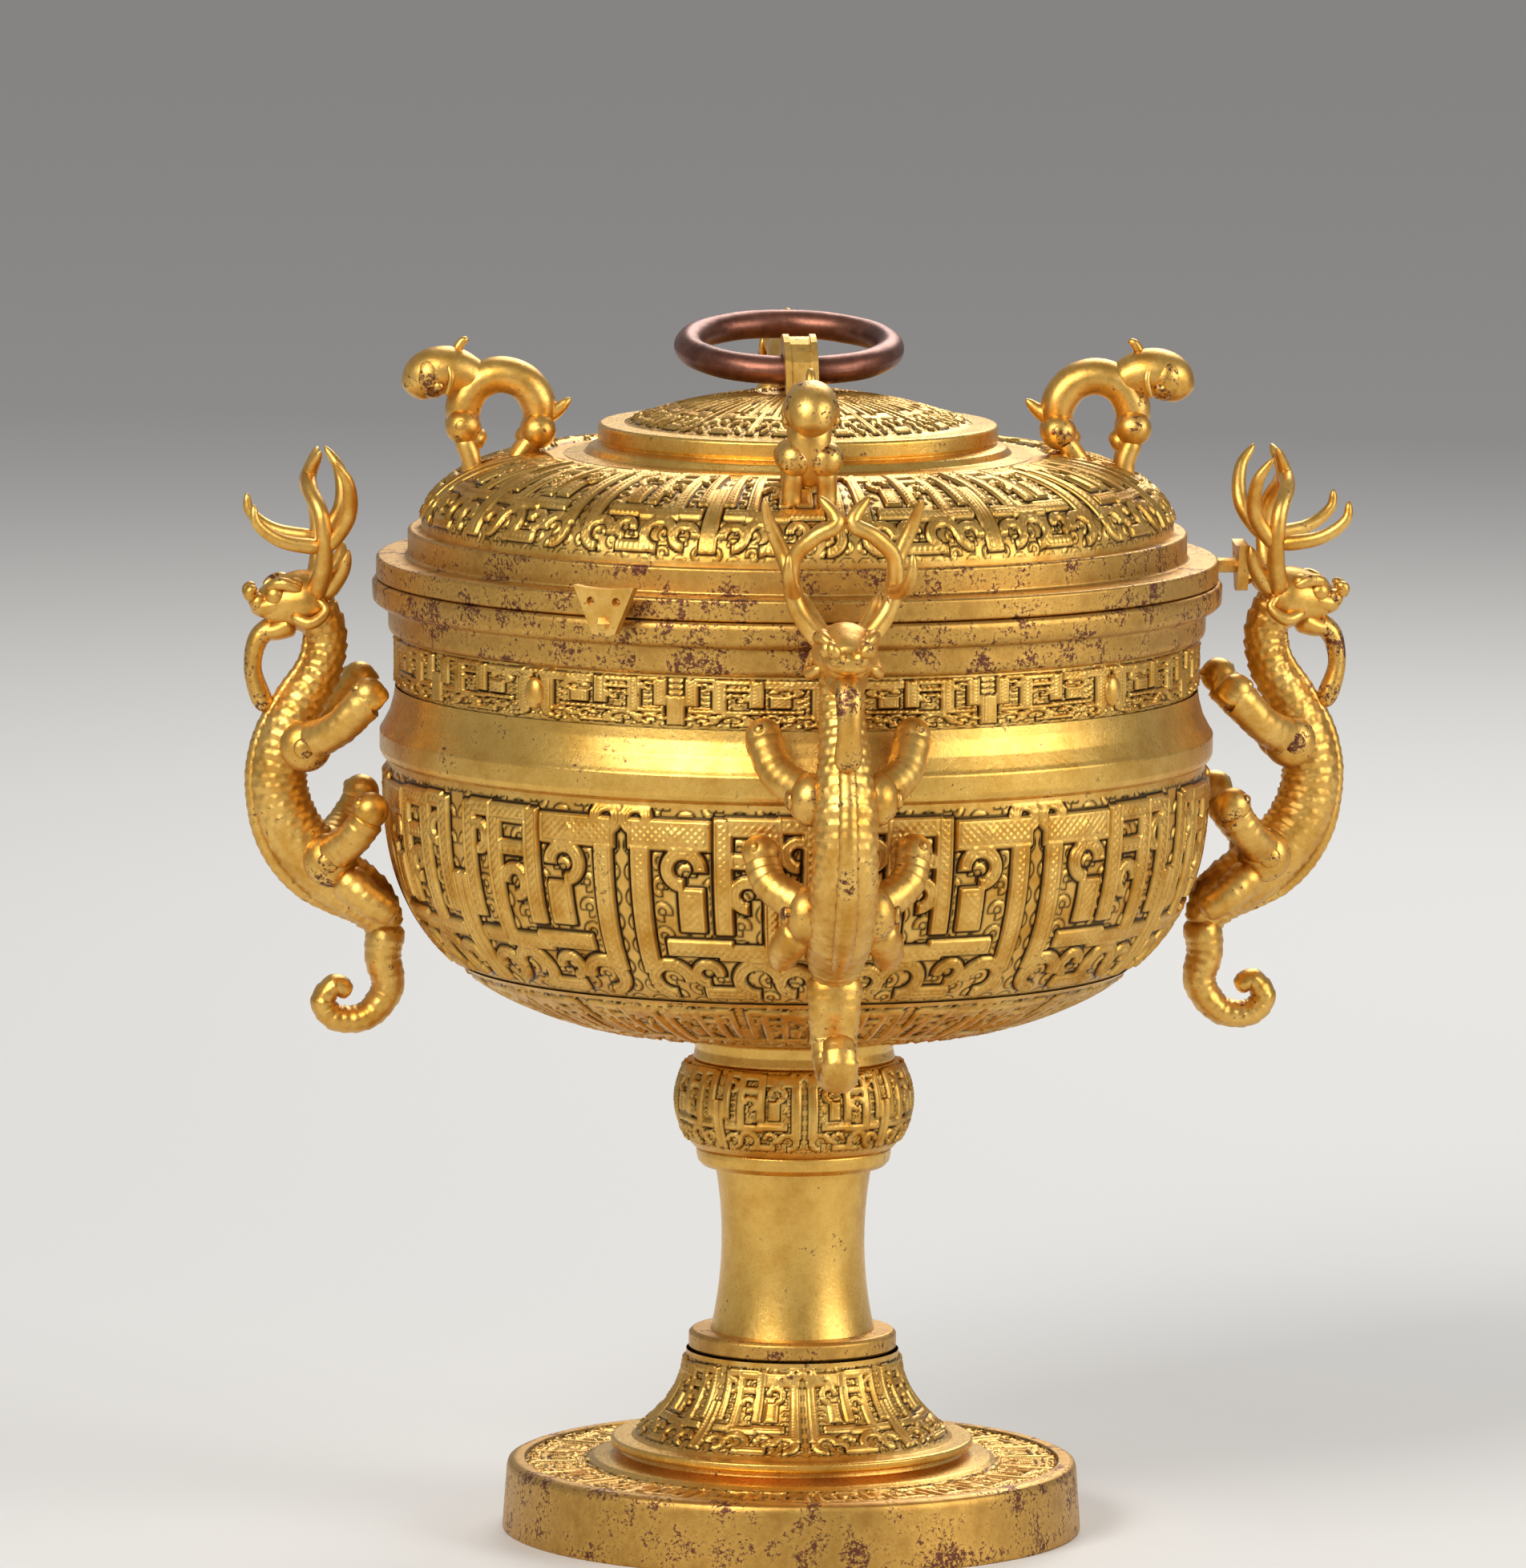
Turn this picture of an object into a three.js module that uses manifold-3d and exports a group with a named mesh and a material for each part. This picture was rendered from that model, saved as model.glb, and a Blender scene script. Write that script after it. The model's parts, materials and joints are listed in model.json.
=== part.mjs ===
// Covered gilt bronze stem cup with four climbing dragons, four lid beasts, three mask clasps and a ring.
// Millimetres, +Z up. The origin is the middle of the foot's underside, and the front dragon faces -Y.
import * as THREE from 'three';
import { mergeVertices } from 'three/addons/utils/BufferGeometryUtils.js';
import Module from 'manifold-3d';

const wasm = await Module();
wasm.setup();

// Driving dimensions
const CLEARANCE = 0.3;
const FOOT = { radius: 58.3, topRadius: 57.4, height: 14.2, wall: 4, rimWidth: 9 };
const STEP = { mouldRadius: 41, neckRadius: 34, radius: 36.5, rise: 4.6, lip: 1.8 };
const CONE = { bottomRadius: 33, topRadius: 22, height: 17.8 };
const COLLAR = { radius: 21, height: 4 };
const STEM = { endRadius: 16.5, waistRadius: 14.4, height: 33.5 };
const UPPER_RING = { radius: 19.7, height: 3.9 };
const KNOB = { endRadius: 20.8, bulge: 2.9, height: 17.5 };
const UPPER_COLLAR = { radius: 20.4, height: 4.8 };
const TIE_ROD_RADIUS = 4;
const BOWL = { radius: 82.8, depth: 58, wall: 3.6, ridgeRadius: 83.7, neckRadius: 80.6, rimRadius: 85.3 };
const SHOULDER_HEIGHT = 8.5;
const NECK_HEIGHT = 16.1;
const RIM_HEIGHT = 5.2;
const LID = { flangeRadius: 84.5, flangeHeight: 4.6, stepRadius: 78.2, stepHeight: 5.4, wall: 3.2 };
const DOME = { radius: 76, topRadius: 46.4, height: 15.4 };
const CROWN = { footRadius: 43, discRadius: 40.3, footHeight: 2.2, discHeight: 3.7, domeRadius: 35, domeHeight: 6.7 };
const STRAP = { width: 6.6, halfSpan: 7.2, height: 10.4, thickness: 1.7 };
const RING = { radius: 20.3, wire: 5.9, tilt: THREE.MathUtils.degToRad(8.3) };
const CLASP = { width: 13, height: 9.3, thickness: 2.2, standOff: 3.2, eyeRadius: 0.9 };
const LID_TURN = THREE.MathUtils.degToRad(3.4);
const BEAST_HOLE = 4;
const BIG_TURNS = 32;
const SMALL_TURNS = 18;

// Heights that follow from them
const coneZ = FOOT.height + STEP.rise;
const collarZ = coneZ + CONE.height;
const stemZ = collarZ + COLLAR.height;
const upperRingZ = stemZ + STEM.height;
const knobZ = upperRingZ + UPPER_RING.height;
const upperCollarZ = knobZ + KNOB.height;
const bowlZ = upperCollarZ + UPPER_COLLAR.height;
const ridgeZ = bowlZ + BOWL.depth + 4.5;
const neckZ = ridgeZ + SHOULDER_HEIGHT;
const rimZ = neckZ + NECK_HEIGHT;
const lidZ = rimZ + RIM_HEIGHT;
const domeZ = lidZ + LID.flangeHeight + LID.stepHeight;
const crownZ = domeZ + DOME.height;
const discZ = crownZ + CROWN.footHeight;
const strapZ = discZ + CROWN.discHeight + CROWN.domeHeight;

// One closed solid from a geometry: shared corners merged, flat slivers dropped, faces turned out.
function toSolid(geometry) {
  const bare = geometry.clone();
  bare.deleteAttribute('normal');
  bare.deleteAttribute('uv');
  const merged = mergeVertices(bare, 1e-3);
  const corners = merged.attributes.position;
  const triangles = [];
  let volume = 0;
  const [a, b, c] = [new THREE.Vector3(), new THREE.Vector3(), new THREE.Vector3()];
  for (let i = 0; i < merged.index.count; i += 3) {
    const t = [0, 1, 2].map((k) => merged.index.getX(i + k));
    if (new Set(t).size < 3) continue;
    triangles.push(t);
    a.fromBufferAttribute(corners, t[0]);
    b.fromBufferAttribute(corners, t[1]);
    c.fromBufferAttribute(corners, t[2]);
    volume += a.dot(b.cross(c));
  }
  if (volume < 0) triangles.forEach((t) => t.reverse());
  return new wasm.Manifold(new wasm.Mesh({
    numProp: 3,
    vertProperties: new Float32Array(corners.array),
    triVerts: new Uint32Array(triangles.flat()),
  }));
}

const join = (solids) => solids.reduce((sum, solid) => sum.add(solid));

function toGeometry(solid) {
  const mesh = solid.getMesh();
  const geometry = new THREE.BufferGeometry();
  geometry.setAttribute('position', new THREE.BufferAttribute(new Float32Array(mesh.vertProperties), 3));
  geometry.setIndex(new THREE.BufferAttribute(new Uint32Array(mesh.triVerts), 1));
  geometry.computeVertexNormals();
  return geometry;
}

// A turned piece: [radius, height] points from low to high, closed along the axis or on itself.
function turned(profile, turns) {
  const points = profile.map(([r, z]) => new THREE.Vector2(r, z));
  return toSolid(new THREE.LatheGeometry(points, turns).rotateX(Math.PI / 2));
}

// A limb carried along a smooth curve: stations are [x, y, z, radius], wide stretches it sideways.
function limb(stations, steps, sides, wide = 1) {
  const curve = new THREE.CatmullRomCurve3(stations.map(([x, y, z]) => new THREE.Vector3(x, y, z)));
  const frames = curve.computeFrenetFrames(steps);
  const corners = [];
  const faces = [];
  for (let i = 0; i <= steps; i++) {
    const t = i / steps;
    const centre = curve.getPointAt(t);
    const along = curve.getUtoTmapping(t) * (stations.length - 1);
    const k = Math.min(Math.floor(along), stations.length - 2);
    const radius = THREE.MathUtils.lerp(stations[k][3], stations[k + 1][3], along - k);
    for (let j = 0; j < sides; j++) {
      const turn = (2 * Math.PI * j) / sides;
      const offset = frames.normals[i].clone().multiplyScalar(Math.cos(turn) * radius);
      offset.addScaledVector(frames.binormals[i], Math.sin(turn) * radius);
      offset.y *= wide;
      corners.push(...centre.clone().add(offset).toArray());
      const next = (j + 1) % sides;
      if (i < steps) {
        faces.push(i * sides + j, i * sides + next, (i + 1) * sides + next);
        faces.push(i * sides + j, (i + 1) * sides + next, (i + 1) * sides + j);
      }
    }
  }
  for (let j = 1; j < sides - 1; j++) {
    faces.push(0, j + 1, j);
    faces.push(steps * sides, steps * sides + j, steps * sides + j + 1);
  }
  const geometry = new THREE.BufferGeometry();
  geometry.setAttribute('position', new THREE.BufferAttribute(new Float32Array(corners), 3));
  geometry.setIndex(faces);
  return toSolid(geometry);
}

function ball(x, y, z, radius, stretch = [1, 1, 1]) {
  const geometry = new THREE.SphereGeometry(radius, 6, 3).scale(...stretch).translate(x, y, z);
  return toSolid(geometry);
}

function drum(radius, length, sides) {
  return toSolid(new THREE.CylinderGeometry(radius, radius, length, sides));
}

// The bowl's side: a full round curve that rises steeply and then stands nearly upright.
function bowlSide(radius, low, high, count) {
  return Array.from({ length: count }, (_, i) => {
    const up = Math.pow((i + 1) / count, 2);
    return [radius * Math.pow(1 - Math.pow(1 - up, 3), 1 / 2.6), low + (high - low) * up];
  });
}

// The lid's dome: a quarter curve from its springing line in to the crown.
function domeSide(inset, count) {
  return Array.from({ length: count + 1 }, (_, i) => {
    const turn = (i / count) * Math.PI / 2;
    const span = DOME.radius - DOME.topRadius;
    return [DOME.topRadius - inset + span * Math.cos(turn) ** 0.9, domeZ - inset + DOME.height * Math.sin(turn)];
  });
}

function footDisc() {
  const under = FOOT.height - FOOT.wall;
  const openRadius = FOOT.radius - FOOT.rimWidth;
  return turned([
    [openRadius, 0], [FOOT.radius, 0], [FOOT.topRadius, FOOT.height - 1.2], [FOOT.topRadius - 1.2, FOOT.height],
    [STEP.mouldRadius, FOOT.height], [STEP.mouldRadius - 1, FOOT.height + 0.6],
    [STEP.neckRadius, FOOT.height + 1.8], [STEP.neckRadius, coneZ - STEP.lip], [STEP.radius, coneZ - STEP.lip],
    [STEP.radius, coneZ], [TIE_ROD_RADIUS + CLEARANCE, coneZ], [TIE_ROD_RADIUS + CLEARANCE, under],
    [openRadius, under], [openRadius, 0],
  ], BIG_TURNS);
}

// A bored solid of revolution between two heights, with its side given as radii at even heights.
function boredDrum(low, high, radiusAt, count) {
  const bore = TIE_ROD_RADIUS + CLEARANCE;
  const side = Array.from({ length: count + 1 }, (_, i) => {
    const t = i / count;
    return [radiusAt(t), low + (high - low) * t];
  });
  return turned([[bore, low], ...side, [bore, high], [bore, low]], SMALL_TURNS);
}

const coneSide = (t) => CONE.topRadius + (CONE.bottomRadius - CONE.topRadius) * Math.pow(1 - t, 2.2);
const collarSide = (t) => COLLAR.radius - 0.6 * Math.abs(2 * t - 1) ** 4;
const stemSide = (t) => STEM.waistRadius + (STEM.endRadius - STEM.waistRadius) * (2 * t - 1.1) ** 2 / 1.21;
const ringSide = (t) => UPPER_RING.radius - 1.3 * (1 - t) ** 2;
const knobSide = (t) => KNOB.endRadius + 0.8 * t + KNOB.bulge * Math.sin(Math.PI * t) ** 0.8;
const upperCollarSide = (t) => UPPER_COLLAR.radius - 0.5 * Math.sin(Math.PI * t);

function tieRod() {
  const headRadius = TIE_ROD_RADIUS * 2;
  const nutZ = FOOT.height - FOOT.wall;
  return turned([
    [0, nutZ - 5], [headRadius, nutZ - 5], [headRadius, nutZ - CLEARANCE], [TIE_ROD_RADIUS, nutZ - CLEARANCE],
    [TIE_ROD_RADIUS, bowlZ - CLEARANCE], [0, bowlZ - CLEARANCE],
  ], 12);
}

function bowlOutside(grow) {
  return [
    [UPPER_COLLAR.radius + grow, bowlZ - grow],
    ...bowlSide(BOWL.radius + grow, bowlZ - grow, bowlZ + BOWL.depth, 8).slice(1),
    [BOWL.ridgeRadius + grow, bowlZ + BOWL.depth + 2], [BOWL.ridgeRadius + grow, ridgeZ],
    [BOWL.neckRadius + 0.6 + grow, ridgeZ + 3], [BOWL.neckRadius + grow, neckZ - 1],
    [BOWL.neckRadius + grow, rimZ - 4], [BOWL.neckRadius + 1.4 + grow, rimZ - 2.7],
    [BOWL.neckRadius + 1.4 + grow, rimZ], [BOWL.rimRadius - 1.2 + grow, rimZ],
    [BOWL.rimRadius + grow, rimZ + 1.2], [BOWL.rimRadius + grow, lidZ],
  ];
}

function bowl() {
  const inner = bowlSide(BOWL.radius - BOWL.wall, bowlZ + BOWL.wall, bowlZ + BOWL.depth, 7).reverse();
  const neckInside = BOWL.neckRadius - BOWL.wall;
  return turned([
    [0, bowlZ], ...bowlOutside(0), [neckInside, lidZ], [neckInside, neckZ],
    ...inner, [0, bowlZ + BOWL.wall],
  ], BIG_TURNS);
}

function lid() {
  const flangeTop = lidZ + LID.flangeHeight;
  const skirt = LID.stepRadius - LID.wall;
  const inside = domeSide(LID.wall, 5).reverse();
  return turned([
    [skirt, lidZ], [LID.flangeRadius, lidZ], [LID.flangeRadius, flangeTop], [LID.stepRadius, flangeTop],
    [LID.stepRadius, domeZ], [DOME.radius, domeZ], ...domeSide(0, 6).slice(1),
    [0, crownZ], [0, crownZ - LID.wall], ...inside, [skirt, domeZ - LID.wall], [skirt, lidZ],
  ], BIG_TURNS);
}

function crownDomeZ(radius) {
  return discZ + CROWN.discHeight + CROWN.domeHeight * (1 - (radius / CROWN.domeRadius) ** 2);
}

function crown(grow = 0) {
  const dome = [1, 0.8, 0.55, 0.3].map((s) => {
    return [CROWN.domeRadius * s + grow, crownDomeZ(CROWN.domeRadius * s) + grow];
  });
  return turned([
    [0, crownZ], [CROWN.footRadius, crownZ], [CROWN.footRadius - 1, crownZ + 1.4], [CROWN.discRadius, discZ],
    [CROWN.discRadius, discZ + CROWN.discHeight], ...dome, [0, strapZ + grow],
  ], SMALL_TURNS);
}

// The strap: a flat band bent to an arch, with a raised edge along each side.
function strap() {
  const arch = (outer, inner, width, offset) => {
    const outline = new THREE.Shape();
    const low = -4;
    outline.moveTo(-outer, low);
    outline.absellipse(0, 0, outer, STRAP.height - STRAP.halfSpan + outer, Math.PI, 0, true);
    outline.lineTo(outer, low);
    outline.lineTo(inner, low);
    outline.absellipse(0, 0, inner, STRAP.height - STRAP.halfSpan + inner - STRAP.thickness, 0, Math.PI, false);
    outline.lineTo(-inner, low);
    const settings = { depth: width, bevelEnabled: false, curveSegments: 7 };
    const geometry = new THREE.ExtrudeGeometry(outline, settings).translate(0, 0, offset - width / 2);
    return toSolid(geometry.rotateX(Math.PI / 2).rotateZ(Math.PI / 2));
  };
  const inner = STRAP.halfSpan;
  const outer = STRAP.halfSpan + STRAP.thickness;
  const edge = STRAP.width / 2 - 0.6;
  const whole = join([
    arch(outer, inner, STRAP.width, 0),
    arch(outer + 0.5, inner, 1.2, edge),
    arch(outer + 0.5, inner, 1.2, -edge),
  ]);
  return whole.translate([0, 0, strapZ - 1.5]).subtract(crown(CLEARANCE));
}

// The ring hangs by its front wire, which passes under the strap.
function ring() {
  return toSolid(new THREE.TorusGeometry(RING.radius, RING.wire / 2, 7, 24).translate(0, RING.radius, 0));
}

// An inverted trapezoid mask with two drilled eyes, held off the flange by a short peg.
function clasp() {
  const half = CLASP.width / 2;
  const face = new THREE.Shape();
  face.moveTo(-half, CLASP.height / 2);
  face.lineTo(-half * 0.38, -CLASP.height / 2);
  face.quadraticCurveTo(0, -CLASP.height / 2 - 1, half * 0.38, -CLASP.height / 2);
  face.lineTo(half, CLASP.height / 2);
  face.quadraticCurveTo(0, CLASP.height / 2 - 1.2, -half, CLASP.height / 2);
  for (const side of [-1, 1]) {
    const eye = new THREE.Path();
    eye.absarc(side * half * 0.42, CLASP.height * 0.18, CLASP.eyeRadius, 0, 2 * Math.PI, false);
    face.holes.push(eye);
  }
  const settings = { depth: CLASP.thickness, bevelEnabled: false, curveSegments: 5 };
  const plate = toSolid(new THREE.ExtrudeGeometry(face, settings).rotateX(Math.PI / 2).rotateZ(Math.PI / 2));
  const peg = drum(1.5, CLASP.standOff + 1, 8).rotate([0, 0, 90]).translate([-CLASP.standOff / 2, 0, 0]);
  const nose = ball(CLASP.thickness, 0, -CLASP.height * 0.28, 1.5);
  const start = LID.flangeRadius + CLEARANCE + CLASP.standOff + 0.5;
  return join([plate, peg, nose]).translate([start, 0, lidZ + LID.flangeHeight / 2]);
}

// A beast on the lid: its back arches over a round hole, and its crested head looks outward.
function lidBeast() {
  const centre = [59.5, crownZ + 7.8];
  const around = (degrees, reach, radius) => {
    const turn = THREE.MathUtils.degToRad(degrees);
    return [centre[0] - reach * Math.cos(turn), 0, centre[1] + reach * Math.sin(turn), radius];
  };
  const back = [-62, -25, 15, 55, 95, 135, 175, 215, 243].map((d, i) => {
    return around(d, BEAST_HOLE + 3.6, i < 2 || i > 6 ? 2.8 : 3.6);
  });
  const [cx, cz] = centre;
  const parts = [
    limb(back, 10, 6, 1.15),
    limb([[cx + 4, 0, cz + 6, 3.6], [cx + 10, 0, cz + 8.6, 5], [cx + 15, 0, cz + 7.5, 4.8], [cx + 18, 0, cz + 3, 2.6]],
      3, 6, 1.05),
    limb([[cx - 7, 0, cz - 1, 2.8], [cx - 11, 0, cz + 0.5, 1.6], [cx - 14, 0, cz + 3, 0.6]], 2, 5),
  ];
  for (const side of [-1, 1]) {
    parts.push(ball(cx - 7.4, side * 3, cz - 3.4, 3.6), ball(cx + 7.6, side * 3, cz - 2.6, 3.6));
    parts.push(limb([[cx - 7, side * 3, cz - 4, 2.2], [cx - 4, side * 3.4, cz - 9, 2], [cx - 3, side * 3.4, cz - 14, 2]],
      2, 5));
    parts.push(limb([[cx + 8, side * 3, cz - 4, 2.2], [cx + 6, side * 3.4, cz - 9, 2], [cx + 6, side * 3.4, cz - 20, 2]],
      2, 5));
  }
  const domeOutside = turned([
    [0, lidZ], [DOME.radius + CLEARANCE, lidZ], [DOME.radius + CLEARANCE, domeZ + CLEARANCE],
    ...domeSide(0, 6).slice(1).map(([r, z]) => [r + CLEARANCE * 1.4, z + CLEARANCE * 1.4]),
    [CROWN.footRadius, crownZ + CLEARANCE], [0, crownZ + CLEARANCE],
  ], BIG_TURNS);
  return join(parts).subtract(domeOutside);
}

// A dragon handle in its own plane: x outward from the cup's axis, y sideways, z up.
function dragon() {
  const parts = [
    limb([[81, 0, 121, 3], [86, 0, 128, 5.4], [94, 0, 134, 6.2], [101, 0, 142, 6], [104, 0, 151, 5.6],
      [103, 0, 160, 5.4], [99.5, 0, 168, 4.6], [95.5, 0, 175, 4], [94.6, 0, 182, 4], [98, 0, 188, 5]], 11, 6, 1.08),
    limb([[94, 0, 188, 4.6], [99, 0, 188.5, 6.2], [104, 0, 188, 5], [108, 0, 187, 3.4]], 3, 6, 1.05),
    limb([[104, 0, 184, 2.6], [108, 0, 181, 2.4], [109.4, 0, 175, 2], [107.5, 0, 169, 2.2], [105.8, 0, 166.5, 1.4]],
      5, 5, 1.3),
    limb([[82, 0, 124, 4], [83, 0, 117, 3.6], [82, 0, 110.5, 3.2], [86, 0, 104.5, 2.9], [92, 0, 103.8, 2.7],
      [95, 0, 107.5, 2.4], [92.5, 0, 111, 2.2], [89.5, 0, 109, 1.9]], 9, 5, 1.4),
  ];
  for (const side of [-1, 1]) {
    parts.push(ball(99, side * 7, 160, 5.4, [1, 0.85, 1]), ball(94, side * 7, 137, 5.6, [1, 0.85, 1]));
    parts.push(limb([[96, side * 3, 189, 2.4], [92, side * 6, 195, 1.8], [90.5, side * 7.5, 199.5, 0.7]], 2, 4));
    parts.push(limb([[100, side * 5, 160, 4], [93, side * 12, 164, 3.6], [87, side * 14.5, 170, 3.6],
      [83, side * 14.5, 169, 3.4], [78, side * 13, 166, 3]], 4, 5));
    parts.push(limb([[95, side * 5, 137, 4], [90, side * 13, 142, 3.6], [85, side * 15.5, 147, 3.6],
      [79, side * 14, 147, 3]], 3, 5));
    parts.push(limb([[92, side * 7, 134, 4], [86, side * 10, 129, 3.4], [79, side * 10, 126, 3], [72, side * 9, 124, 2.6]],
      2, 5));
    parts.push(limb([[97, side * 3, 189, 2.4], [95.5, side * 9, 197, 1.8], [96, side * 10, 206, 1.6],
      [98, side * 6, 211, 1.6], [98, side * 1.5, 214, 1.5], [96, side * 5, 219, 0.8]], 6, 4));
    parts.push(limb([[95.6, side * 9.3, 199, 1.6], [91, side * 11, 206, 1.6], [91, side * 14, 213, 1.3],
      [94, side * 15.5, 218, 0.6]], 3, 4));
    parts.push(limb([[95.6, side * 9.4, 200, 1.7], [104, side * 11, 201.5, 1.4], [109, side * 12, 205, 1.1],
      [109.8, side * 12, 209, 0.6]], 3, 4));
  }
  return join(parts).subtract(turned([[0, bowlZ - CLEARANCE], ...bowlOutside(CLEARANCE), [0, lidZ]], BIG_TURNS));
}

const GILT = { color: 0xd9a441, roughness: 0.36, metalness: 1 };
const WORN_GILT = { color: 0xb98a3c, roughness: 0.45, metalness: 1 };
const COPPER = { color: 0x7a4c38, roughness: 0.42, metalness: 1 };

function piece(name, solid, finish) {
  const mesh = new THREE.Mesh(toGeometry(solid), new THREE.MeshStandardMaterial(finish));
  mesh.name = name;
  return mesh;
}

const cup = new THREE.Group();
cup.add(piece('foot_disc', footDisc(), WORN_GILT));
cup.add(piece('foot_cone', boredDrum(coneZ, collarZ, coneSide, 6), GILT));
cup.add(piece('lower_collar', boredDrum(collarZ, stemZ, collarSide, 4), GILT));
cup.add(piece('stem', boredDrum(stemZ, upperRingZ, stemSide, 7), GILT));
cup.add(piece('upper_ring', boredDrum(upperRingZ, knobZ, ringSide, 3), GILT));
cup.add(piece('knob', boredDrum(knobZ, upperCollarZ, knobSide, 7), GILT));
cup.add(piece('upper_collar', boredDrum(upperCollarZ, bowlZ, upperCollarSide, 4), GILT));
cup.add(piece('tie_rod', tieRod(), COPPER));
cup.add(piece('bowl', bowl(), GILT));

const dragonSolid = dragon();
['dragon_right', 'dragon_rear', 'dragon_left', 'dragon_front'].forEach((name, i) => {
  const mesh = piece(name, dragonSolid, GILT);
  mesh.rotation.z = (i * Math.PI) / 2;
  cup.add(mesh);
});

const lidGroup = new THREE.Group();
lidGroup.add(piece('lid', lid(), GILT));
lidGroup.add(piece('crown', crown(), GILT));
lidGroup.add(piece('strap', strap(), GILT));
const beastSolid = lidBeast();
['beast_right', 'beast_rear', 'beast_left', 'beast_front'].forEach((name, i) => {
  const mesh = piece(name, beastSolid, GILT);
  mesh.rotation.z = (i * Math.PI) / 2 + LID_TURN;
  lidGroup.add(mesh);
});
const claspSolid = clasp();
['clasp_right', 'clasp_rear', 'clasp_front'].forEach((name, i) => {
  const mesh = piece(name, claspSolid, WORN_GILT);
  mesh.rotation.z = (i * 2 * Math.PI) / 3;
  lidGroup.add(mesh);
});
const ringMesh = piece('ring', ring(), COPPER);
ringMesh.position.z = strapZ + STRAP.height - STRAP.thickness - 1.5 - RING.wire / 2 - 0.55;
ringMesh.rotation.x = RING.tilt;
lidGroup.add(ringMesh);
cup.add(lidGroup);

export default cup;
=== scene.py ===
"""Looks of the covered gilt bronze stem cup: relief surfaces, dragons, beasts, finishes, light and camera."""
import bpy
import json
import math
import numpy as np
from mathutils import Matrix, Vector


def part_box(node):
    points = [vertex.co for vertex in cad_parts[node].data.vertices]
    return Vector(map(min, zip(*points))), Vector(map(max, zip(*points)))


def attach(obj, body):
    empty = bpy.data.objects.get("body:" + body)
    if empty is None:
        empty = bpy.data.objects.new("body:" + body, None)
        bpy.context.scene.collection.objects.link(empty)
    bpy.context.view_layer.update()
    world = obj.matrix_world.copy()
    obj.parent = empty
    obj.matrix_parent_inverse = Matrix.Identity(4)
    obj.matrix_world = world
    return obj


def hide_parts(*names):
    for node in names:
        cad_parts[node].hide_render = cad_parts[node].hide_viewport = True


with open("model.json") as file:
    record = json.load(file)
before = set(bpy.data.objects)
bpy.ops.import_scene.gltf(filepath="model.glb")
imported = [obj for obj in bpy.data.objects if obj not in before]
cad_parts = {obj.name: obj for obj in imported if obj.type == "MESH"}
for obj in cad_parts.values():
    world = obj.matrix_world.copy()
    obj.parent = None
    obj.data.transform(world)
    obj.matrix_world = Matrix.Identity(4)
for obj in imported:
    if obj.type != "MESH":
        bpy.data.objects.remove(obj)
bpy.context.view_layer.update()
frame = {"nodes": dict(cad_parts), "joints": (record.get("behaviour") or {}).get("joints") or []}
MM = 0.001

# Camera and lamps: metres and radians, the lens in millimetres
CAMERA_AZIMUTH = math.radians(-5.4)
CAMERA_DISTANCE = 2.94
CAMERA_HEIGHT = 0.507
AIM_HEIGHT = 0.151
AIM_LEFT = 0.0066
CAMERA_ROLL = math.radians(0.35)
LENS = 338.7
LAMP_AIM_HEIGHT = 0.15

# The lid sits turned on the rim, in radians. The scrollwork's mirrored unit has its own units, and the length
# of a row of scales is in millimetres.
LID_TURN = math.radians(3.4)
UNIT_WIDTH = 43
UNIT_HEIGHT = 45
SCALE_LENGTH = 2.0
OPEN_STEPS = 12

# Finish: noise scales are waves to a metre, the others are shares
CLOUD_SCALE = 120.0
PLAIN_TONE_SCALE = 260.0
WEAR_ON_TOPS = 0.36
WEAR_EDGE = 14.0
ROUGH_SPREAD = 0.28
WORN_DULLING = 0.12
METALLIC = 0.94


def low(node, axis=2):
    """The lowest corner of a CAD node in millimetres."""
    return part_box(node)[0][axis] / MM


def high(node, axis=2):
    """The highest corner of a CAD node in millimetres."""
    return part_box(node)[1][axis] / MM


def linear(code, alpha=1.0):
    """An sRGB hex colour as linear red, green, blue and alpha."""
    parts = [int(code[i:i + 2], 16) / 255 for i in (0, 2, 4)]
    return [c / 12.92 if c <= 0.04045 else ((c + 0.055) / 1.055) ** 2.4 for c in parts] + [alpha]


def add_node(tree, kind, inputs=None, **settings):
    """Adds a shader node, sets its settings, and links or sets its inputs."""
    node = tree.nodes.new(kind)
    for name, value in settings.items():
        setattr(node, name, value)
    for name, value in (inputs or {}).items():
        if isinstance(value, bpy.types.NodeSocket):
            tree.links.new(value, node.inputs[name])
        else:
            node.inputs[name].default_value = value
    return node


def ramp(tree, source, stops):
    """A colour ramp over a value: stops are (place, linear colour)."""
    node = add_node(tree, "ShaderNodeValToRGB", {"Fac": source})
    while len(node.color_ramp.elements) < len(stops):
        node.color_ramp.elements.new(0.5)
    for element, (place, colour) in zip(node.color_ramp.elements, stops):
        element.position = place
        element.color = colour
    return node.outputs["Color"]


def noise(tree, place, scale, detail, roughness=0.5):
    """Noise from 0 to 1 over a position in metres."""
    inputs = {"Vector": place, "Scale": scale, "Detail": detail, "Roughness": roughness}
    return add_node(tree, "ShaderNodeTexNoise", inputs).outputs["Fac"]


def arithmetic(tree, operation, *terms, clamp=False):
    """The result of one arithmetic node on two or three terms."""
    node = add_node(tree, "ShaderNodeMath", dict(enumerate(terms)), operation=operation, use_clamp=clamp)
    return node.outputs[0]


def laid_over(tree, share, under, over):
    """One colour laid over another by a share from 0 to 1."""
    inputs = {"Factor": share, "A": under, "B": over}
    return add_node(tree, "ShaderNodeMix", inputs, data_type="RGBA").outputs["Result"]


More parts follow.
